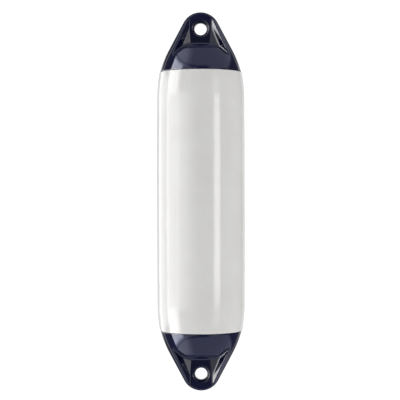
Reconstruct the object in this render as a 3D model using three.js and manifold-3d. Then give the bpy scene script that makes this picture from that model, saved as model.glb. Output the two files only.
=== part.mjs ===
// Inflatable boat fender: a white barrel sleeve with a dark blue rope hold moulded into each end.
// Millimetres, +Z up. The origin is the centre of the upper rope eye, whose bore runs along Y.
import * as THREE from 'three';
import { mergeVertices } from 'three/addons/utils/BufferGeometryUtils.js';
import Module from 'manifold-3d';

const wasm = await Module();
wasm.setup();

// Whole fender
const overallLength = 610;
const clearance = 0.3;
const roundSegments = 48;

// Barrel sleeve
const bodyRadius = 70.8;
const bodyCrown = 0.5;
const bodyWall = 3.5;
const shoulderLength = 44;
const shoulderDrop = 3.9;
const lipRound = 0.9;

// Rope hold: a blunt cone with the eye in a web between a front and a back pocket
const eyeToTip = 27.5;
const eyeBoreRadius = 9.65;
const eyeMouthWidth = 4.2;
const eyeMouthLength = 11;
const webHalfThickness = 13.6;
const tipRadius = 31.3;
const coneHalfAngle = THREE.MathUtils.degToRad(28.1);
const skirtHeight = 34.7;
const skirtInset = 13.518512;
const skirtAngle = THREE.MathUtils.degToRad(15.1);
const lipStep = 0.9;
const spigotLength = 16;
const spigotWall = 7;
const holdRecessHeight = 18;

// Pocket surfaces, as half widths, depths in front of the axis and distances below the eye
const rampTopHalfWidth = 19.9;
const rampTopDepth = 15;
const rampTopBelowEye = 0.7;
const facetTopHalfWidth = 16.7;
const facetTopBelowEye = 2.9;
const footTopBelowEye = 22.5;
const floorBelowEye = 31.2;
const floorSideHalfWidth = 32;
const floorSideDepth = 20;
const floorSideBelowEye = 33;
const cutterMargin = 4;

// The way each pocket surface faces: turned towards the middle, then tilted up
const wallTurn = THREE.MathUtils.degToRad(37.5);
const rampTilt = THREE.MathUtils.degToRad(27.2);
const facetTurn = THREE.MathUtils.degToRad(20);
const facetTilt = THREE.MathUtils.degToRad(1.5);
const flankTurn = THREE.MathUtils.degToRad(49.5);
const flankTilt = THREE.MathUtils.degToRad(-10.5);
const footTilt = THREE.MathUtils.degToRad(45);
const floorMiddleTilt = THREE.MathUtils.degToRad(84.4);
const floorSideTurn = THREE.MathUtils.degToRad(-70);
const floorSideTilt = THREE.MathUtils.degToRad(53);

// Inflation valve in the back of the upper hold's skirt
const valveSegments = 32;
const valveAboveSeat = 20;
const valveLength = 19;
const valveFlangeRadius = 9;
const valveFlangeThickness = 1.6;
const valveTubeRadius = 6.5;
const valveBoreRadius = 3.2;
const screwHeadRadius = 5.6;
const screwHeadHeight = 2.2;
const screwShankLength = 11;
const slotWidth = 1.4;
const slotDepth = 1.2;
const sealThickness = 1.2;
const sealWidth = 1.8;

// Values worked out from the sizes above; the cone runs from the skirt's top to the tip, so a
// slimmer barrel has shorter rope holds
const bodyEndRadius = bodyRadius - bodyCrown - shoulderDrop;
const seatRadius = bodyEndRadius - lipStep;
const skirtTopRadius = seatRadius - skirtInset;
const coneTopRadius = tipRadius * Math.cos(coneHalfAngle);
const coneHeight = (skirtTopRadius - coneTopRadius) / Math.tan(coneHalfAngle);
const tipHeight = tipRadius * (1 - Math.sin(coneHalfAngle));
const holdHeight = skirtHeight + coneHeight + tipHeight;
const eyeToSeat = holdHeight - eyeToTip;
const eyeSpacing = overallLength - 2 * eyeToTip;
const bodyLength = overallLength - 2 * (holdHeight + clearance);

const vinylWhite = new THREE.MeshStandardMaterial({ color: 0xe9e9e6, roughness: 0.22, metalness: 0 });
const vinylNavy = new THREE.MeshStandardMaterial({ color: 0x141830, roughness: 0.12, metalness: 0 });
const valvePlastic = new THREE.MeshStandardMaterial({ color: 0xd9dad6, roughness: 0.35, metalness: 0 });
const brass = new THREE.MeshStandardMaterial({ color: 0xc39b4a, roughness: 0.3, metalness: 0.9 });
const sealRubber = new THREE.MeshStandardMaterial({ color: 0x1b1b1c, roughness: 0.8, metalness: 0 });

// Booleans

function toSolid(geometry) {
  const bare = geometry.index ? geometry.toNonIndexed() : geometry.clone();
  bare.deleteAttribute('normal');
  bare.deleteAttribute('uv');
  const merged = mergeVertices(bare, 1e-4);
  return new wasm.Manifold(new wasm.Mesh({
    numProp: 3,
    vertProperties: new Float32Array(merged.attributes.position.array),
    triVerts: new Uint32Array(merged.index.array),
  }));
}

function toGeometry(solid) {
  const mesh = solid.getMesh();
  const geometry = new THREE.BufferGeometry();
  geometry.setAttribute('position', new THREE.BufferAttribute(new Float32Array(mesh.vertProperties), 3));
  geometry.setIndex(new THREE.BufferAttribute(new Uint32Array(mesh.triVerts), 1));
  return geometry;
}

// Shapes

// A ring or disc turned round Z from a profile of [radius, height] points
function turned(profile, segments = roundSegments) {
  const points = profile.map(([radius, height]) => new THREE.Vector2(radius, height));
  const geometry = new THREE.LatheGeometry(points, segments);
  geometry.rotateX(Math.PI / 2);
  return geometry;
}

// Points of a quarter-turn or other arc about [centreRadius, centreHeight]
function arcPoints(centreRadius, centreHeight, radius, fromAngle, toAngle, steps) {
  const points = [];
  for (let i = 0; i <= steps; i += 1) {
    const angle = fromAngle + ((toAngle - fromAngle) * i) / steps;
    points.push([centreRadius + radius * Math.cos(angle), centreHeight + radius * Math.sin(angle)]);
  }
  return points;
}

// The barrel's outer radius, a distance in from its nearer end
function bodyRadiusAt(fromEnd) {
  const barrelHalf = bodyLength / 2 - shoulderLength;
  const fromMiddle = Math.max(0, bodyLength / 2 - fromEnd);
  const crown = bodyCrown * Math.min(1, fromMiddle / barrelHalf) ** 2;
  const shoulder = shoulderDrop * Math.max(0, 1 - fromEnd / shoulderLength) ** 2;
  return bodyRadius - crown - shoulder;
}

// Distances in from one end at which the barrel's profile has a point
function bodyStations(first) {
  const stations = [first];
  const shoulderSteps = 6;
  for (let i = 1; i <= shoulderSteps; i += 1) {
    stations.push(first + ((shoulderLength - first) * i) / shoulderSteps);
  }
  stations.push((shoulderLength + bodyLength / 2) / 2);
  return stations;
}

function barrelSleeve() {
  const half = bodyLength / 2;
  const roundSteps = 3;
  const lower = [];
  for (let i = 0; i <= roundSteps; i += 1) {
    const angle = -Math.PI / 2 + (i * Math.PI) / 2 / roundSteps;
    const fromEnd = lipRound * (1 + Math.sin(angle));
    lower.push([bodyRadiusAt(lipRound) - lipRound * (1 - Math.cos(angle)), fromEnd - half]);
  }
  bodyStations(lipRound).slice(1).forEach((s) => lower.push([bodyRadiusAt(s), s - half]));
  const middle = [[bodyRadius, 0]];
  const upper = lower.map(([radius, height]) => [radius, -height]).reverse();
  const insideUp = bodyStations(0).map((s) => [bodyRadiusAt(s) - bodyWall, half - s]);
  const insideDown = insideUp.map(([radius, height]) => [radius, -height]).reverse();
  const profile = [...lower, ...middle, ...upper, ...insideUp, ...insideDown, lower[0]];
  return turned(profile);
}

// The hold's outer outline from the seat up to the tip, as [radius, height above the seat]
function holdOutline() {
  const tipCentre = holdHeight - tipRadius;
  const tangentRadius = tipRadius * Math.cos(coneHalfAngle);
  const tangentHeight = tipCentre + tipRadius * Math.sin(coneHalfAngle);
  const coneRadiusAt = (height) => tangentRadius + (tangentHeight - height) * Math.tan(coneHalfAngle);
  const skirtTop = coneRadiusAt(skirtHeight);
  const coneAtSeat = coneRadiusAt(0);
  const meetHeight = (coneAtSeat - seatRadius) / (Math.tan(coneHalfAngle) - Math.tan(skirtAngle));
  const skirt = new THREE.QuadraticBezierCurve(
    new THREE.Vector2(seatRadius, 0),
    new THREE.Vector2(coneRadiusAt(meetHeight), meetHeight),
    new THREE.Vector2(skirtTop, skirtHeight),
  );
  const skirtPoints = skirt.getPoints(6).map((p) => [p.x, p.y]);
  const tip = arcPoints(0, tipCentre, tipRadius, coneHalfAngle, Math.PI / 2, 7);
  tip[tip.length - 1] = [0, holdHeight];
  return [...skirtPoints, ...tip];
}

// The hold before its pockets: the cone, the spigot inside the sleeve and the hollow under it
function holdBlank() {
  const spigotRadiusAt = (below) => bodyRadiusAt(Math.max(0, below - clearance)) - bodyWall - clearance;
  const ledge = spigotRadiusAt(0);
  const spigotInner = ledge - spigotWall;
  const spigot = [
    [spigotInner, -spigotLength],
    [spigotRadiusAt(spigotLength), -spigotLength],
    [spigotRadiusAt(spigotLength / 2), -spigotLength / 2],
    [ledge, 0],
  ];
  const recess = [];
  const recessSteps = 6;
  for (let i = 0; i <= recessSteps; i += 1) {
    const angle = (Math.PI / 2) * (1 - i / recessSteps);
    recess.push([spigotInner * Math.cos(angle), holdRecessHeight * Math.sin(angle)]);
  }
  recess[0] = [0, holdRecessHeight];
  const geometry = turned([...recess, ...spigot, ...holdOutline(), recess[0]]);
  geometry.translate(0, 0, -eyeToSeat);
  return toSolid(geometry);
}

// A plane square to the way it faces, through a point of the hold's right half
function facing(turn, tilt, point) {
  const normal = new THREE.Vector3(-Math.sin(turn) * Math.cos(tilt), -Math.cos(turn) * Math.cos(tilt), Math.sin(tilt));
  return { normal, offset: normal.dot(new THREE.Vector3(...point)) };
}

function bothSides(plane) {
  const { x, y, z } = plane.normal;
  return [plane, { normal: new THREE.Vector3(-x, y, z), offset: plane.offset }];
}

// A block cut by planes: what is in front of all of them, or behind them all
function blockInFront(planes) {
  const size = 2 * (holdHeight + cutterMargin);
  const block = wasm.Manifold.cube([size, size, size], true);
  return planes.reduce((solid, { normal, offset }) => solid.trimByPlane(normal.toArray(), offset), block);
}

function blockBehind(planes) {
  return blockInFront(planes.map(({ normal, offset }) => ({ normal: normal.clone().negate(), offset: -offset })));
}

// The front pocket: a V between the ribs and a deeper part below it, over a crowned floor
function pocket() {
  const rampTop = [rampTopHalfWidth, -rampTopDepth, -rampTopBelowEye];
  const web = facing(0, 0, [0, -webHalfThickness, 0]);
  const wall = facing(wallTurn, 0, [0, 0, 0]);
  const ramp = facing(0, rampTilt, rampTop);
  const facet = facing(facetTurn, facetTilt, [facetTopHalfWidth, -webHalfThickness, -facetTopBelowEye]);
  const flank = facing(flankTurn, flankTilt, rampTop);
  const foot = facing(0, footTilt, [0, -webHalfThickness, -footTopBelowEye]);
  const floorMiddle = facing(0, floorMiddleTilt, [0, -webHalfThickness, -floorBelowEye]);
  const floorSide = facing(floorSideTurn, floorSideTilt, [floorSideHalfWidth, -floorSideDepth, -floorSideBelowEye]);
  const upper = blockInFront([web, ramp, ...bothSides(wall)]);
  const lower = blockInFront([web, foot, ...bothSides(facet), ...bothSides(flank)]);
  return upper.add(lower).subtract(blockBehind([floorMiddle, ...bothSides(floorSide)]));
}

// The eye's bore, with a long rounded mouth at each face of the web
function eyeBore() {
  const mouthSteps = 6;
  const mouth = [];
  for (let i = 0; i <= mouthSteps; i += 1) {
    const angle = (i * Math.PI) / 2 / mouthSteps;
    const radius = eyeBoreRadius + eyeMouthWidth * (1 - Math.cos(angle));
    mouth.push([radius, webHalfThickness - eyeMouthLength * (1 - Math.sin(angle))]);
  }
  const outside = webHalfThickness + cutterMargin;
  const upper = [...mouth, [eyeBoreRadius + eyeMouthWidth, outside], [0, outside]];
  const lower = upper.map(([radius, height]) => [radius, -height]).reverse();
  const geometry = turned([...lower, ...upper]);
  geometry.rotateX(Math.PI / 2);
  return toSolid(geometry);
}

function ropeHold() {
  const front = pocket();
  const back = pocket().mirror([0, 1, 0]);
  return holdBlank().subtract(front).subtract(back).subtract(eyeBore());
}

// Valve pieces, turned about their own Z, whose origin is the flange's outer face

function valveBody() {
  const seatDepth = sealThickness + clearance;
  const pocketRadius = screwHeadRadius + clearance;
  return turned([
    [valveBoreRadius, -valveLength],
    [valveTubeRadius, -valveLength],
    [valveTubeRadius, -valveFlangeThickness],
    [valveFlangeRadius, -valveFlangeThickness],
    [valveFlangeRadius, -valveFlangeThickness / 3],
    [valveFlangeRadius - valveFlangeThickness / 2, 0],
    [pocketRadius, 0],
    [pocketRadius, -seatDepth],
    [valveBoreRadius, -seatDepth],
    [valveBoreRadius, -valveLength],
  ], valveSegments);
}

function valveSeal() {
  const inner = valveBoreRadius + clearance;
  return turned([
    [inner, -sealThickness],
    [inner + sealWidth, -sealThickness],
    [inner + sealWidth, 0],
    [inner, 0],
    [inner, -sealThickness],
  ], valveSegments);
}

function valveScrew() {
  const shankRadius = valveBoreRadius - clearance;
  const chamfer = screwHeadHeight / 4;
  const underHead = clearance;
  const screw = toSolid(turned([
    [0, underHead - screwShankLength],
    [shankRadius - chamfer, underHead - screwShankLength],
    [shankRadius, underHead - screwShankLength + chamfer],
    [shankRadius, underHead],
    [screwHeadRadius, underHead],
    [screwHeadRadius, underHead + screwHeadHeight - chamfer],
    [screwHeadRadius - chamfer, underHead + screwHeadHeight],
    [0, underHead + screwHeadHeight],
  ], valveSegments));
  const slot = new THREE.BoxGeometry(3 * screwHeadRadius, slotWidth, 2 * slotDepth);
  slot.translate(0, 0, underHead + screwHeadHeight);
  return toGeometry(screw.subtract(toSolid(slot)));
}

// The bore through the skirt that the valve's tube and flange sit in
function valveCut() {
  return turned([
    [0, -valveLength - cutterMargin],
    [valveTubeRadius + clearance, -valveLength - cutterMargin],
    [valveTubeRadius + clearance, -valveFlangeThickness - clearance],
    [valveFlangeRadius + clearance, -valveFlangeThickness - clearance],
    [valveFlangeRadius + clearance, cutterMargin],
    [0, cutterMargin],
  ], valveSegments);
}

// Where the valve's flange sits: square to the skirt's back face, just below flush
function valveFrame() {
  const outline = holdOutline();
  const above = outline.findIndex(([, height]) => height > valveAboveSeat);
  const [lowRadius, lowHeight] = outline[above - 1];
  const [highRadius, highHeight] = outline[above];
  const share = (valveAboveSeat - lowHeight) / (highHeight - lowHeight);
  const radius = lowRadius + share * (highRadius - lowRadius);
  const rise = Math.atan2(lowRadius - highRadius, highHeight - lowHeight);
  const sink = valveFlangeRadius ** 2 / (2 * radius);
  const frame = new THREE.Group();
  frame.position.set(0, radius - sink * Math.cos(rise), valveAboveSeat - eyeToSeat - sink * Math.sin(rise));
  frame.rotation.x = rise - Math.PI / 2;
  frame.updateMatrix();
  return frame;
}

// Assembly

const fender = new THREE.Group();

function add(parent, name, geometry, material) {
  const mesh = new THREE.Mesh(geometry, material);
  mesh.name = name;
  parent.add(mesh);
  return mesh;
}

const body = add(fender, 'body', barrelSleeve(), vinylWhite);
body.position.z = -eyeSpacing / 2;

const valve = valveFrame();
const valveHole = valveCut();
valveHole.applyMatrix4(valve.matrix);
add(fender, 'upper_rope_hold', toGeometry(ropeHold().subtract(toSolid(valveHole))), vinylNavy);

const lowerEnd = new THREE.Group();
lowerEnd.position.z = -eyeSpacing;
lowerEnd.rotation.y = Math.PI;
fender.add(lowerEnd);
add(lowerEnd, 'lower_rope_hold', toGeometry(ropeHold()), vinylNavy);

fender.add(valve);
add(valve, 'valve_body', valveBody(), valvePlastic);
add(valve, 'valve_seal', valveSeal(), sealRubber);
add(valve, 'valve_screw', valveScrew(), brass);

export default fender;
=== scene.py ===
import math
import bmesh
import bpy
from mathutils import Matrix, Vector


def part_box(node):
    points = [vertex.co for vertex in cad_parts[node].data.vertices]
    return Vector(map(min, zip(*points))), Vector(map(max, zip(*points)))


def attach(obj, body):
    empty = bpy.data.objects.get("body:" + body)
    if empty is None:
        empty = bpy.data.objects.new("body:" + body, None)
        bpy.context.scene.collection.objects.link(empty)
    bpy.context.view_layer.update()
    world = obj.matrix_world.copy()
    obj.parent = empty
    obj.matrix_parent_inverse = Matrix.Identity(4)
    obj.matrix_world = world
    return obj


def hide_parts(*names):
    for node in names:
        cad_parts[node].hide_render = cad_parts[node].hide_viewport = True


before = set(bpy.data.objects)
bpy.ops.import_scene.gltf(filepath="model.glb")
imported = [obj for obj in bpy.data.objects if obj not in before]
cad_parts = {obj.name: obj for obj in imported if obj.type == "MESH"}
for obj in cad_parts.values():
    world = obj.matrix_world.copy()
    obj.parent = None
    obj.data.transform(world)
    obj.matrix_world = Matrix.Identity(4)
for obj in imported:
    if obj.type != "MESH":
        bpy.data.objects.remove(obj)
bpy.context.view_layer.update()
mm = 0.001
clearance = 0.3
weldDistance = 0.01
planeTolerance = 1e-7  # in metres
quarterTurn = math.pi / 2

# The barrel's box in the frame gives the main sizes, in mm; the origin is the upper eye's centre
barrelLow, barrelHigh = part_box("body")
barrelRadius = round(barrelHigh[0] / mm, 1)
barrelLength = round((barrelHigh[2] - barrelLow[2]) / mm, 1)
eyeSpacing = round(-(barrelHigh[2] + barrelLow[2]) / mm, 1)
eyeToSeat = round(-barrelHigh[2] / mm - clearance, 1)


def shadeFaces(piece, smooth=True):
    for face in piece.data.polygons:
        face.use_smooth = smooth


def addPiece(name, bm, smooth=True):
    mesh = bpy.data.meshes.new(name)
    bm.to_mesh(mesh)
    bm.free()
    piece = bpy.data.objects.new(name, mesh)
    shadeFaces(piece, smooth)
    bpy.context.scene.collection.objects.link(piece)
    return piece


# Applies the piece's modifiers to its mesh
def bake(piece):
    graph = bpy.context.evaluated_depsgraph_get()
    mesh = bpy.data.meshes.new_from_object(piece.evaluated_get(graph))
    piece.modifiers.clear()
    piece.data = mesh


def boolean(piece, cutter, operation="DIFFERENCE"):
    step = piece.modifiers.new("cut", "BOOLEAN")
    step.operation, step.object, step.solver = operation, cutter, "EXACT"
    bake(piece)
    bpy.data.objects.remove(cutter)


# Profile points are [radius, height] in mm, turned once round Z
def spunProfile(profile, steps, closed=False):
    bm = bmesh.new()
    verts = [bm.verts.new((r * mm, 0, z * mm)) for r, z in profile]
    edges = [bm.edges.new((a, b)) for a, b in zip(verts, verts[1:])]
    if closed:
        edges.append(bm.edges.new((verts[-1], verts[0])))
    bmesh.ops.spin(bm, geom=verts + edges, cent=(0, 0, 0), axis=(0, 0, 1), angle=2 * math.pi,
                   steps=steps, use_merge=True)
    bmesh.ops.remove_doubles(bm, verts=bm.verts, dist=weldDistance * mm)
    bmesh.ops.recalc_face_normals(bm, faces=bm.faces)
    return bm


def bezier(a, b, c, steps):
    points = []
    for i in range(steps + 1):
        t = i / steps
        points.append([a[k] * (1 - t) ** 2 + 2 * b[k] * t * (1 - t) + c[k] * t * t for k in (0, 1)])
    return points


def arc(centre, radius, start, end, steps):
    turns = [start + (end - start) * i / steps for i in range(steps + 1)]
    return [[centre[0] + radius * math.cos(a), centre[1] + radius * math.sin(a)] for a in turns]


# White sleeve with a slight belly, drawn-in shoulders and a rounded lip at each end
barrel = {
    "crown": 0.5, "wall": 3.5, "shoulderLength": 44.0, "shoulderDrop": 3.9, "lipRound": 0.9,
    "steps": 160, "shoulderSteps": 14, "middleSteps": 10, "lipSteps": 6,
}


def barrelRadiusAt(fromEnd):
    half, shoulderLength = barrelLength / 2, barrel["shoulderLength"]
    fromMiddle = max(0.0, half - fromEnd)
    crown = barrel["crown"] * min(1.0, fromMiddle / (half - shoulderLength)) ** 2
    shoulder = barrel["shoulderDrop"] * max(0.0, 1 - fromEnd / shoulderLength) ** 2
    return barrelRadius - crown - shoulder


def barrelProfile():
    half, lip, shoulder = barrelLength / 2, barrel["lipRound"], barrel["shoulderLength"]
    outward, inward = barrel["shoulderSteps"], barrel["middleSteps"]
    stations = [lip + (shoulder - lip) * i / outward for i in range(outward + 1)]
    stations += [shoulder + (half - shoulder) * i / inward for i in range(1, inward + 1)]
    end = arc([barrelRadiusAt(lip) - lip, lip - half], lip, -quarterTurn, 0, barrel["lipSteps"])
    outer = end[:-1] + [[barrelRadiusAt(s), s - half] for s in stations]
    inner = [[barrelRadiusAt(s) - barrel["wall"], s - half] for s in [0.0] + stations[1:]]
    outer += [[r, -z] for r, z in reversed(outer[:-1])]
    inner += [[r, -z] for r, z in reversed(inner[:-1])]
    return outer + inner[::-1]


def buildBarrel():
    bm = spunProfile(barrelProfile(), barrel["steps"], closed=True)
    bmesh.ops.translate(bm, verts=bm.verts, vec=(0, 0, -eyeSpacing / 2 * mm))
    return addPiece("white_barrel", bm)


# Blue moulded end: a blunt cone on a spigot, with the eye in a web between two pockets
hold = {
    "eyeToTip": 27.5, "tipRadius": 31.3, "coneHalfAngle": 28.1,
    "lipStep": 0.9, "skirtHeight": 34.7, "skirtAngle": 15.1,
    "spigotLength": 16.0, "spigotWall": 7.0, "recessHeight": 18.0,
    "webHalf": 13.6, "boreRadius": 9.65, "mouthWidth": 4.2, "mouthLength": 11.0, "boreReach": 6.0,
    "steps": 192, "skirtSteps": 20, "tipSteps": 24, "recessSteps": 16, "boreSteps": 96, "mouthSteps": 12,
    "cutterSize": 200.0, "voxel": 1.0, "roundPasses": 6, "roundFactor": 0.5,
    "roundFrom": 1.5, "roundOver": 3.0,  # where the rounding starts above the seat, and how far it grows
}

# Surfaces of the right half of the front pocket: azimuth and elevation that each faces, in degrees,
# and a point on it. Foot and floor lie about 1 mm low, because the rounding lifts them.
pocket = {
    "web": (0, 0, (0, -hold["webHalf"], 0)),
    "wall": (37.5, 0, (0, 0, 0)),
    "ramp": (0, 27.2, (0, -15, -0.7)),
    "facet": (20, 1.5, (16.7, -hold["webHalf"], -2.9)),
    "flank": (49.5, -10.5, (19.9, -15, -0.7)),
    "foot": (0, 45, (0, -hold["webHalf"], -23.6)),
    "floorMiddle": (0, 86, (0, -hold["webHalf"], -31.9)),
    "floorSide": (-70, 53, (32, -20, -33)),
}


# From the seat up to the tip; the skirt curves from its own angle at the seat into the cone
def holdOutline():
    half, skirtAngle = math.radians(hold["coneHalfAngle"]), math.radians(hold["skirtAngle"])
    seatRadius = barrelRadiusAt(0) - hold["lipStep"]
    tipCentre = eyeToSeat + hold["eyeToTip"] - hold["tipRadius"]
    tangentRadius = hold["tipRadius"] * math.cos(half)
    tangentHeight = tipCentre + hold["tipRadius"] * math.sin(half)

    def coneRadius(z):
        return tangentRadius + (tangentHeight - z) * math.tan(half)

    meet = (coneRadius(0) - seatRadius) / (math.tan(half) - math.tan(skirtAngle))
    skirtTop = [coneRadius(hold["skirtHeight"]), hold["skirtHeight"]]
    skirt = bezier([seatRadius, 0], [coneRadius(meet), meet], skirtTop, hold["skirtSteps"])
    tip = arc([0, tipCentre], hold["tipRadius"], half, quarterTurn, hold["tipSteps"])
    tip[-1][0] = 0.0
    return skirt + tip


def spigotRadiusAt(belowSeat):
    return barrelRadiusAt(max(0.0, belowSeat - clearance)) - barrel["wall"] - clearance


def holdBlank():
    low, ledge = hold["spigotLength"], spigotRadiusAt(0)
    inner = ledge - hold["spigotWall"]
    turns = [quarterTurn * i / hold["recessSteps"] for i in range(hold["recessSteps"] + 1)]
    recess = [[inner * math.sin(t), hold["recessHeight"] * math.cos(t)] for t in turns]
    spigot = [[inner, -low], [spigotRadiusAt(low), -low], [spigotRadiusAt(low / 2), -low / 2], [ledge, 0]]
    profile = recess + spigot + holdOutline()
    bm = spunProfile([[r, z - eyeToSeat] for r, z in profile], hold["steps"])
    return addPiece("hold_blank", bm)


# Azimuth 0 points to the camera, and positive azimuths to the picture's left
def direction(azimuth, elevation):
    a, e = math.radians(azimuth), math.radians(elevation)
    return Vector((-math.sin(a) * math.cos(e), -math.cos(a) * math.cos(e), math.sin(e)))


# A big block kept in front of each plane (keep 1) or behind it (keep -1)
def trimmedBlock(name, planes, keep=1):
    bm = bmesh.new()
    bmesh.ops.create_cube(bm, size=hold["cutterSize"] * mm)
    for azimuth, elevation, point in planes:
        facing = direction(azimuth, elevation) * keep
        cut = bmesh.ops.bisect_plane(bm, geom=bm.verts[:] + bm.edges[:] + bm.faces[:], dist=planeTolerance,
                                     plane_co=Vector(point) * mm, plane_no=facing, clear_inner=True)
        rim = [e for e in cut["geom_cut"] if isinstance(e, bmesh.types.BMEdge)]
        if rim:
            bmesh.ops.contextual_create(bm, geom=rim)
    bmesh.ops.recalc_face_normals(bm, faces=bm.faces)
    return addPiece(name, bm, smooth=False)


def bothSides(plane):
    azimuth, elevation, point = plane
    return [plane, (-azimuth, elevation, (-point[0], point[1], point[2]))]


# A V between the ribs and a deeper part below it, over a crowned floor
def frontPocket():
    upper = trimmedBlock("upper_v", [pocket["web"], pocket["ramp"]] + bothSides(pocket["wall"]))
    lower = trimmedBlock("lower_part", [pocket["web"], pocket["foot"]] + bothSides(pocket["facet"])
                         + bothSides(pocket["flank"]))
    floor = trimmedBlock("pocket_floor", [pocket["floorMiddle"]] + bothSides(pocket["floorSide"]), keep=-1)
    boolean(lower, upper, "UNION")
    boolean(lower, floor)
    return lower


def eyeCutter():
    radius, web = hold["boreRadius"], hold["webHalf"]
    width, length, steps = hold["mouthWidth"], hold["mouthLength"], hold["mouthSteps"]
    mouth = []
    for i in range(steps + 1):
        turn = quarterTurn * i / steps
        mouth.append([radius + width * (1 - math.cos(turn)), web - length + length * math.sin(turn)])
    outside = web + hold["boreReach"]
    upper = mouth + [[radius + width, outside], [0, outside]]
    profile = [[r, -z] for r, z in reversed(upper)] + upper
    bm = spunProfile(profile, hold["boreSteps"])
    bmesh.ops.rotate(bm, verts=bm.verts, cent=(0, 0, 0), matrix=Matrix.Rotation(quarterTurn, 3, "X"))
    return addPiece("eye_cutter", bm)


# Evens out the mesh, then softens the edges above the seat, where the fender is moulded round
def roundEdges(piece):
    remesh = piece.modifiers.new("even", "REMESH")
    remesh.mode, remesh.voxel_size, remesh.use_smooth_shade = "VOXEL", hold["voxel"] * mm, True
    bake(piece)
    above = piece.vertex_groups.new(name="above_seat")
    for v in piece.data.vertices:
        share = (v.co.z / mm + eyeToSeat - hold["roundFrom"]) / hold["roundOver"]
        if share > 0:
            above.add([v.index], min(1.0, share), "REPLACE")
    smooth = piece.modifiers.new("round", "SMOOTH")
    smooth.factor, smooth.iterations = hold["roundFactor"], hold["roundPasses"]
    smooth.vertex_group = "above_seat"
    bake(piece)
    shadeFaces(piece)


def buildHold():
    piece = holdBlank()
    front = frontPocket()
    back = front.copy()
    back.data = front.data.copy()
    back.data.transform(Matrix.Rotation(math.pi, 4, "Z"))
    bpy.context.scene.collection.objects.link(back)
    for cutter in (front, back, eyeCutter()):
        boolean(piece, cutter)
    roundEdges(piece)
    piece.name = "upper_hold"
    return piece


# The same moulding turned over, at the other end
def turnedHold(upper):
    piece = upper.copy()
    piece.data = upper.data.copy()
    piece.name = "lower_hold"
    piece.data.transform(Matrix.Translation((0, 0, -eyeSpacing * mm)) @ Matrix.Rotation(math.pi, 4, "Y"))
    bpy.context.scene.collection.objects.link(piece)
    return piece


# Inflation valve in the back of the upper hold's skirt; profiles are turned about the valve's own Z
valve = {
    "aboveSeat": 20.0, "length": 19.0, "flangeRadius": 9.0, "flangeThickness": 1.6, "tubeRadius": 6.5,
    "boreRadius": 3.2, "headRadius": 5.6, "headHeight": 2.2, "shankLength": 11.0, "chamfer": 0.55,
    "slotWidth": 1.4, "slotDepth": 1.2, "sealThickness": 1.2, "sealWidth": 1.8, "cutReach": 4.0,
    "steps": 96, "bevel": 0.2, "bevelSegments": 3, "bevelAngle": 35, "sharpAngle": 50,
}


def valveMatrix():
    outline, height = holdOutline(), valve["aboveSeat"]
    above = next(i for i, point in enumerate(outline) if point[1] > height)
    (lowRadius, lowHeight), (highRadius, highHeight) = outline[above - 1], outline[above]
    share = (height - lowHeight) / (highHeight - lowHeight)
    radius = lowRadius + share * (highRadius - lowRadius)
    rise = math.atan2(lowRadius - highRadius, highHeight - lowHeight)
    sink = valve["flangeRadius"] ** 2 / (2 * radius)  # the flange's sides end flush with the round skirt
    place = Vector((0, radius - sink * math.cos(rise), height - eyeToSeat - sink * math.sin(rise)))
    return Matrix.Translation(place * mm) @ Matrix.Rotation(rise - quarterTurn, 4, "X")


def sharpenCorners(piece):
    shadeFaces(piece)
    piece.data.set_sharp_from_angle(angle=math.radians(valve["sharpAngle"]))


# The slot runs right across the head, and half of its cutter stands above it
def cutSlot(piece):
    bm = bmesh.new()
    bmesh.ops.create_cube(bm, size=1)
    size = (3 * valve["headRadius"] * mm, valve["slotWidth"] * mm, 2 * valve["slotDepth"] * mm)
    bmesh.ops.scale(bm, verts=bm.verts, vec=size)
    bmesh.ops.translate(bm, verts=bm.verts, vec=(0, 0, (clearance + valve["headHeight"]) * mm))
    boolean(piece, addPiece("slot_cutter", bm, smooth=False))


def valvePiece(name, profile, closed=False, slot=False, bevel=True):
    piece = addPiece(name, spunProfile(profile, valve["steps"], closed))
    if slot:
        cutSlot(piece)
    if bevel:
        step = piece.modifiers.new("edges", "BEVEL")
        step.width, step.segments, step.limit_method = valve["bevel"] * mm, valve["bevelSegments"], "ANGLE"
        step.angle_limit = math.radians(valve["bevelAngle"])
        bake(piece)
        sharpenCorners(piece)
    piece.data.transform(valveMatrix())
    return piece


def buildValveBody():
    tube, flange, bore = valve["tubeRadius"], valve["flangeRadius"], valve["boreRadius"]
    thickness, length = valve["flangeThickness"], valve["length"]
    seat, recess = valve["sealThickness"] + clearance, valve["headRadius"] + clearance
    return valvePiece("valve_insert", [
        [bore, -length], [tube, -length], [tube, -thickness], [flange, -thickness],
        [flange, -thickness / 3], [flange - thickness / 2, 0], [recess, 0], [recess, -seat], [bore, -seat],
    ], closed=True)


def buildValveSeal():
    inner = valve["boreRadius"] + clearance
    outer, low = inner + valve["sealWidth"], -valve["sealThickness"]
    return valvePiece("valve_ring", [[inner, low], [outer, low], [outer, 0], [inner, 0]], closed=True)


def buildValveScrew():
    shank, head, chamfer = valve["boreRadius"] - clearance, valve["headRadius"], valve["chamfer"]
    top, low = clearance + valve["headHeight"], clearance - valve["shankLength"]
    return valvePiece("valve_plug", [
        [0, low], [shank - chamfer, low], [shank, low + chamfer], [shank, clearance], [head, clearance],
        [head, top - chamfer], [head - chamfer, top], [0, top],
    ], slot=True)


def cutValveHole(piece):
    tube, flange = valve["tubeRadius"] + clearance, valve["flangeRadius"] + clearance
    ledge, reach = -valve["flangeThickness"] - clearance, valve["cutReach"]
    low = -valve["length"] - reach
    boolean(piece, valvePiece("valve_cutter", [
        [0, low], [tube, low], [tube, ledge], [flange, ledge], [flange, reach], [0, reach],
    ], bevel=False))
    sharpenCorners(piece)


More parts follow.
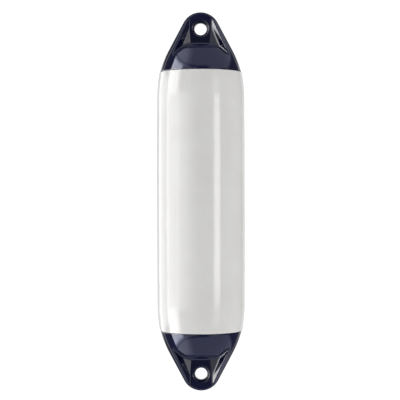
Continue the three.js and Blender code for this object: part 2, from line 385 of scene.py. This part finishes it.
print("building the barrel")
whiteBarrel = buildBarrel()
print("building the rope holds")
upperHold = buildHold()
lowerHold = turnedHold(upperHold)
print("building the valve")
cutValveHole(upperHold)
valveInsert = buildValveBody()
valveRing = buildValveSeal()
valvePlug = buildValveScrew()
print("hold triangles", sum(len(p.vertices) - 2 for p in upperHold.data.polygons))


def feed(tree, source, socket):
    if isinstance(source, bpy.types.NodeSocket):
        tree.links.new(source, socket)
    else:
        socket.default_value = source


def mixColor(tree, factor, a, b):
    mix = tree.nodes.new("ShaderNodeMix")
    mix.data_type = "RGBA"
    feed(tree, factor, mix.inputs["Factor"])
    feed(tree, a, mix.inputs[6])
    feed(tree, b, mix.inputs[7])
    return mix.outputs[2]


def mapRange(tree, source, fromMin, fromMax, toMin, toMax, smooth=False):
    node = tree.nodes.new("ShaderNodeMapRange")
    if smooth:
        node.interpolation_type = "SMOOTHSTEP"
    feed(tree, source, node.inputs["Value"])
    for key, value in (("From Min", fromMin), ("From Max", fromMax), ("To Min", toMin), ("To Max", toMax)):
        feed(tree, value, node.inputs[key])
    return node.outputs["Result"]


def maths(tree, operation, a, b=0.0):
    node = tree.nodes.new("ShaderNodeMath")
    node.operation = operation
    feed(tree, a, node.inputs[0])
    feed(tree, b, node.inputs[1])
    return node.outputs[0]


# Moulded surface: soft mottling, orange peel and fine scuffs, the same on every piece but for scale
skin = {
    "scales": {"Mottle Scale": 22.0, "Peel Scale": 260.0, "Scuff Scale": 90.0},
    "mottleDetail": 3, "peelDetail": 1, "scuffDetail": 4, "scuffRoughness": 0.65,
    "scuffTurn": (0.35, 0.2, 0.15), "scuffStretch": (1.0, 1.0, 0.12), "scuffRange": (0.58, 0.74),
    "peelHeight": 0.08, "patchRange": (0.35, 0.65), "scuffTint": 0.25, "bumpStrength": 0.5,
}


def noise(tree, place, scale, detail, roughness=None):
    node = tree.nodes.new("ShaderNodeTexNoise")
    node.inputs["Detail"].default_value = detail
    if roughness is not None:
        node.inputs["Roughness"].default_value = roughness
    tree.links.new(place, node.inputs["Vector"])
    tree.links.new(scale, node.inputs["Scale"])
    return node.outputs["Fac"]


# Puts out masks for the mottling and the scuffs, and a height for the bump
def buildVinylSkin():
    group = bpy.data.node_groups.new("vinylSkin", "ShaderNodeTree")
    for name, value in skin["scales"].items():
        socket = group.interface.new_socket(name=name, in_out="INPUT", socket_type="NodeSocketFloat")
        socket.default_value = value
    for name in ("Mottle", "Scuffs", "Height"):
        group.interface.new_socket(name=name, in_out="OUTPUT", socket_type="NodeSocketFloat")
    source, result = group.nodes.new("NodeGroupInput"), group.nodes.new("NodeGroupOutput")
    place = group.nodes.new("ShaderNodeTexCoord").outputs["Object"]
    stretch = group.nodes.new("ShaderNodeMapping")
    stretch.inputs["Rotation"].default_value = skin["scuffTurn"]
    stretch.inputs["Scale"].default_value = skin["scuffStretch"]
    group.links.new(place, stretch.inputs["Vector"])
    mottle = noise(group, place, source.outputs["Mottle Scale"], skin["mottleDetail"])
    peel = noise(group, place, source.outputs["Peel Scale"], skin["peelDetail"])
    scuff = noise(group, stretch.outputs["Vector"], source.outputs["Scuff Scale"], skin["scuffDetail"],
                  skin["scuffRoughness"])
    group.links.new(mottle, result.inputs["Mottle"])
    group.links.new(mapRange(group, scuff, *skin["scuffRange"], 0, 1), result.inputs["Scuffs"])
    height = maths(group, "ADD", mottle, maths(group, "MULTIPLY", peel, skin["peelHeight"]))
    group.links.new(height, result.inputs["Height"])
    return group


# Base and shade are the mottled colours; gloss and dull are the roughness off and on a scuff
surfaces = {
    "white_vinyl": {
        "base": (0.80, 0.795, 0.782), "shade": (0.775, 0.768, 0.75), "scuff": (0.74, 0.73, 0.71),
        "ior": 1.46, "specular": 0.4, "gloss": 0.10, "dull": 0.19, "bump": 0.0007, "mottle": 20.0,
    },
    "navy_vinyl": {
        "base": (0.0058, 0.0066, 0.034), "shade": (0.0050, 0.0058, 0.030), "scuff": (0.012, 0.013, 0.040),
        "ior": 1.54, "specular": 0.5, "gloss": 0.055, "dull": 0.13, "bump": 0.0003, "mottle": 40.0,
    },
    "valve_plastic": {
        "base": (0.62, 0.62, 0.60), "shade": (0.56, 0.56, 0.54), "scuff": (0.5, 0.5, 0.48),
        "ior": 1.48, "specular": 0.5, "gloss": 0.28, "dull": 0.42, "bump": 0.0001, "mottle": 90.0,
    },
    "seal_rubber": {
        "base": (0.018, 0.018, 0.018), "shade": (0.026, 0.026, 0.025), "scuff": (0.04, 0.04, 0.038),
        "ior": 1.5, "specular": 0.4, "gloss": 0.6, "dull": 0.75, "bump": 0.0001, "mottle": 150.0,
    },
    "screw_brass": {
        "base": (0.66, 0.46, 0.18), "shade": (0.46, 0.31, 0.13), "scuff": (0.34, 0.23, 0.10), "metallic": 1.0,
        "ior": 1.5, "specular": 0.5, "gloss": 0.2, "dull": 0.38, "bump": 0.0001, "mottle": 180.0,
    },
}


def surfaceMaterial(name):
    look = surfaces[name]
    material = bpy.data.materials.new(name)
    material.use_nodes = True
    tree = material.node_tree
    shader = tree.nodes["Principled BSDF"]
    moulded = tree.nodes.new("ShaderNodeGroup")
    moulded.node_tree = vinylSkin
    moulded.inputs["Mottle Scale"].default_value = look["mottle"]
    scuffs = moulded.outputs["Scuffs"]
    patch = mapRange(tree, moulded.outputs["Mottle"], *skin["patchRange"], 0, 1, smooth=True)
    tone = mixColor(tree, patch, (*look["base"], 1), (*look["shade"], 1))
    faint = maths(tree, "MULTIPLY", scuffs, skin["scuffTint"])
    tree.links.new(mixColor(tree, faint, tone, (*look["scuff"], 1)), shader.inputs["Base Color"])
    tree.links.new(mapRange(tree, scuffs, 0, 1, look["gloss"], look["dull"]), shader.inputs["Roughness"])
    bump = tree.nodes.new("ShaderNodeBump")
    bump.inputs["Distance"].default_value = look["bump"]
    bump.inputs["Strength"].default_value = skin["bumpStrength"]
    tree.links.new(moulded.outputs["Height"], bump.inputs["Height"])
    tree.links.new(bump.outputs["Normal"], shader.inputs["Normal"])
    shader.inputs["IOR"].default_value = look["ior"]
    shader.inputs["Specular IOR Level"].default_value = look["specular"]
    shader.inputs["Metallic"].default_value = look.get("metallic", 0.0)
    return material


print("making the materials")
vinylSkin = buildVinylSkin()
materials = {name: surfaceMaterial(name) for name in surfaces}

for piece, node, slotName in (
    (whiteBarrel, "body", "white_vinyl"),
    (upperHold, "upper_rope_hold", "navy_vinyl"),
    (lowerHold, "lower_rope_hold", "navy_vinyl"),
    (valveInsert, "valve_body", "valve_plastic"),
    (valveRing, "valve_seal", "seal_rubber"),
    (valvePlug, "valve_screw", "screw_brass"),
):
    piece.data.materials.clear()
    piece.data.materials.append(materials[slotName])
    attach(piece, "root")
    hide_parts(node)


# Light that matt surfaces get from the front, from around and from behind, with the angles in degrees
# over which one gives way to the next, and the floor, in metres
studio = {
    "frontFill": 0.14, "aroundFill": 1.36, "backFill": 0.28, "leftBias": 0.06, "backdrop": 1.1,
    "frontAside": (46, 56), "frontUp": (34, 42), "backAside": (92, 108),
    "floorHeight": -2.2, "floorRadius": 6, "floorSteps": 96,
    "floorColor": (0.9, 0.9, 0.9, 1), "floorRoughness": 0.8, "floorGlow": 0.5,
}

# What glossy surfaces mirror, the same above and below the horizon, with all angles in degrees.
# Azimuth and elevation run from and to; feather and fade are the soft edges before and after them.
# A window reaches down to the horizon, and its top is a height and the soft edge above it.
mirrored = {
    "base": 0.09,
    "windows": {
        "left bank": {"azimuth": (64, 98), "feather": (10, 3), "top": (33, 5), "level": 6.0},
        "bank's soft front edge": {"azimuth": (54, 56), "feather": (40, 10), "top": (6, 3), "level": 3.4},
        "above that edge": {"azimuth": (24, 54), "feather": (26, 10), "top": (36, 2), "level": 0.75},
        "bank's low part behind": {"azimuth": (98, 140), "feather": (3, 4), "top": (12, 4), "level": 3.0},
        "right strip": {"azimuth": (-49.5, -37.5), "feather": (4, 4), "top": (4.4, 2), "level": 5.2},
        "above that strip": {"azimuth": (-46, -34), "feather": (8, 4), "top": (16, 4), "level": 2.0},
        "strip behind left": {"azimuth": (137, 142), "feather": (1, 1), "top": (50, 5), "level": 0.6},
        "strip behind right": {"azimuth": (-149, -143), "feather": (1, 1), "top": (50, 5), "level": 0.4},
    },
    "glows": {
        "over the bank": {
            "azimuth": (62, 92), "feather": (34, 10), "elevation": (38, 46), "fade": (5, 22), "level": 1.1,
        },
        "bank's bright heart": {
            "azimuth": (68, 92), "feather": (5, 5), "elevation": (7, 20), "fade": (2, 6), "level": 4.5,
        },
        "upper right": {
            "azimuth": (-135, -36), "feather": (12, 22), "elevation": (30, 38), "fade": (4, 2), "level": 0.62,
        },
    },
    "ceiling": {
        "from": (38, 40), "level": 0.65, "levelBehind": 0.13, "behindFrom": (95, 115),
        "tint": (0.94, 0.98, 1.22, 1), "tintFrom": (24, 32),
    },
    "behind": {"aside": (143, 146), "up": (12, 15), "level": 0.6},
}


def between(tree, source, reach, feather):
    (low, high), (before, after) = reach, feather
    rise = mapRange(tree, source, low - before, low, 0, 1, smooth=True)
    fall = mapRange(tree, source, high, high + after, 1, 0, smooth=True)
    return maths(tree, "MULTIPLY", rise, fall)


def addLight(tree, total, shape, level):
    return maths(tree, "ADD", total, maths(tree, "MULTIPLY", shape, level))


def mirroredLight(tree, azimuth, aside, elevation):
    total = mirrored["base"]
    for window in mirrored["windows"].values():
        across = between(tree, azimuth, window["azimuth"], window["feather"])
        top, feather = window["top"]
        up = mapRange(tree, elevation, top, top + feather, window["level"], 0, smooth=True)
        total = addLight(tree, total, across, up)
    for glow in mirrored["glows"].values():
        across = between(tree, azimuth, glow["azimuth"], glow["feather"])
        up = between(tree, elevation, glow["elevation"], glow["fade"])
        total = addLight(tree, total, maths(tree, "MULTIPLY", across, up), glow["level"])
    ceiling, behind = mirrored["ceiling"], mirrored["behind"]
    overhead = mapRange(tree, elevation, *ceiling["from"], 0, 1, smooth=True)
    level = mapRange(tree, aside, *ceiling["behindFrom"], ceiling["level"], ceiling["levelBehind"])
    total = addLight(tree, total, overhead, level)
    back = mapRange(tree, aside, *behind["aside"], 0, behind["level"], smooth=True)
    low = mapRange(tree, elevation, *behind["up"], 1, 0)
    return addLight(tree, total, back, low)


def fillLight(tree, left, aside, elevation):
    front = maths(tree, "MULTIPLY", mapRange(tree, aside, *studio["frontAside"], 1, 0),
                  mapRange(tree, elevation, *studio["frontUp"], 1, 0))
    around = mapRange(tree, front, 0, 1, studio["aroundFill"], studio["frontFill"])
    fill = mapRange(tree, aside, *studio["backAside"], around, studio["backFill"])
    bias = studio["leftBias"]
    return maths(tree, "MULTIPLY", fill, mapRange(tree, left, -1, 1, 1 - bias, 1 + bias))


def buildWorld():
    world = bpy.data.worlds.new("studio")
    bpy.context.scene.world = world
    world.use_nodes = True
    tree = world.node_tree
    path = tree.nodes.new("ShaderNodeLightPath")
    place = tree.nodes.new("ShaderNodeTexCoord")
    split = tree.nodes.new("ShaderNodeSeparateXYZ")
    tree.links.new(place.outputs["Generated"], split.inputs[0])
    left = maths(tree, "MULTIPLY", split.outputs["X"], -1)
    front = maths(tree, "MULTIPLY", split.outputs["Y"], -1)
    azimuth = maths(tree, "DEGREES", maths(tree, "ARCTAN2", left, front))
    elevation = maths(tree, "DEGREES", maths(tree, "ARCSINE", maths(tree, "ABSOLUTE", split.outputs["Z"])))
    aside = maths(tree, "ABSOLUTE", azimuth)
    glossy, seen = path.outputs["Is Glossy Ray"], path.outputs["Is Camera Ray"]
    fill, total = fillLight(tree, left, aside, elevation), mirroredLight(tree, azimuth, aside, elevation)
    lit = mapRange(tree, glossy, 0, 1, fill, total)
    background = tree.nodes["Background"]
    tree.links.new(mapRange(tree, seen, 0, 1, lit, studio["backdrop"]), background.inputs["Strength"])
    ceiling = mirrored["ceiling"]
    tinted = maths(tree, "MULTIPLY", mapRange(tree, elevation, *ceiling["tintFrom"], 0, 1), glossy)
    tree.links.new(mixColor(tree, tinted, (1, 1, 1, 1), ceiling["tint"]), background.inputs["Color"])


def buildFloor():
    material = bpy.data.materials.new("pale_floor")
    material.use_nodes = True
    inputs = material.node_tree.nodes["Principled BSDF"].inputs
    inputs["Base Color"].default_value = studio["floorColor"]
    inputs["Roughness"].default_value = studio["floorRoughness"]
    inputs["Emission Color"].default_value = (1, 1, 1, 1)
    inputs["Emission Strength"].default_value = studio["floorGlow"]
    bm = bmesh.new()
    bmesh.ops.create_circle(bm, cap_ends=True, segments=studio["floorSteps"], radius=studio["floorRadius"])
    bmesh.ops.translate(bm, verts=bm.verts, vec=(0, 0, studio["floorHeight"]))
    floor = addPiece("floor", bm, smooth=False)
    floor.data.materials.append(material)
    floor.visible_glossy = False
    return floor


print("setting up the studio")
buildWorld()
buildFloor()


# Rows and columns are the photograph's pixels: the fender's axis, the row that the camera is level
# with and the row of the fender's middle. The distance is in metres, and the roll in degrees.
cameraPlan = {
    "distance": 2.2, "focalPixels": 1363.0, "sensor": 36.0, "roll": 0.11, "clip": (0.1, 50),
    "imageSize": 400, "axisColumn": 200.9, "levelRow": 195.0, "middleRow": 201.4,
}


def placeCamera():
    size, distance = cameraPlan["imageSize"], cameraPlan["distance"]
    metresPerPixel = distance / cameraPlan["focalPixels"]
    above = (cameraPlan["middleRow"] - cameraPlan["levelRow"]) * metresPerPixel
    cam = bpy.data.cameras.new("camera")
    cam.sensor_width = cameraPlan["sensor"]
    cam.lens = cameraPlan["focalPixels"] * cameraPlan["sensor"] / size
    cam.shift_x = (size / 2 - cameraPlan["axisColumn"]) / size
    cam.shift_y = (cameraPlan["levelRow"] - size / 2) / size
    cam.clip_start, cam.clip_end = cameraPlan["clip"]
    camera = bpy.data.objects.new("camera", cam)
    camera.location = (0, -distance, -eyeSpacing / 2 * mm + above)
    camera.rotation_euler = (quarterTurn, math.radians(cameraPlan["roll"]), 0)
    bpy.context.scene.collection.objects.link(camera)
    bpy.context.scene.camera = camera


print("placing the camera")
placeCamera()
view = bpy.context.scene.view_settings
view.view_transform, view.look, view.exposure, view.gamma = "Standard", "None", 0.0, 1.0
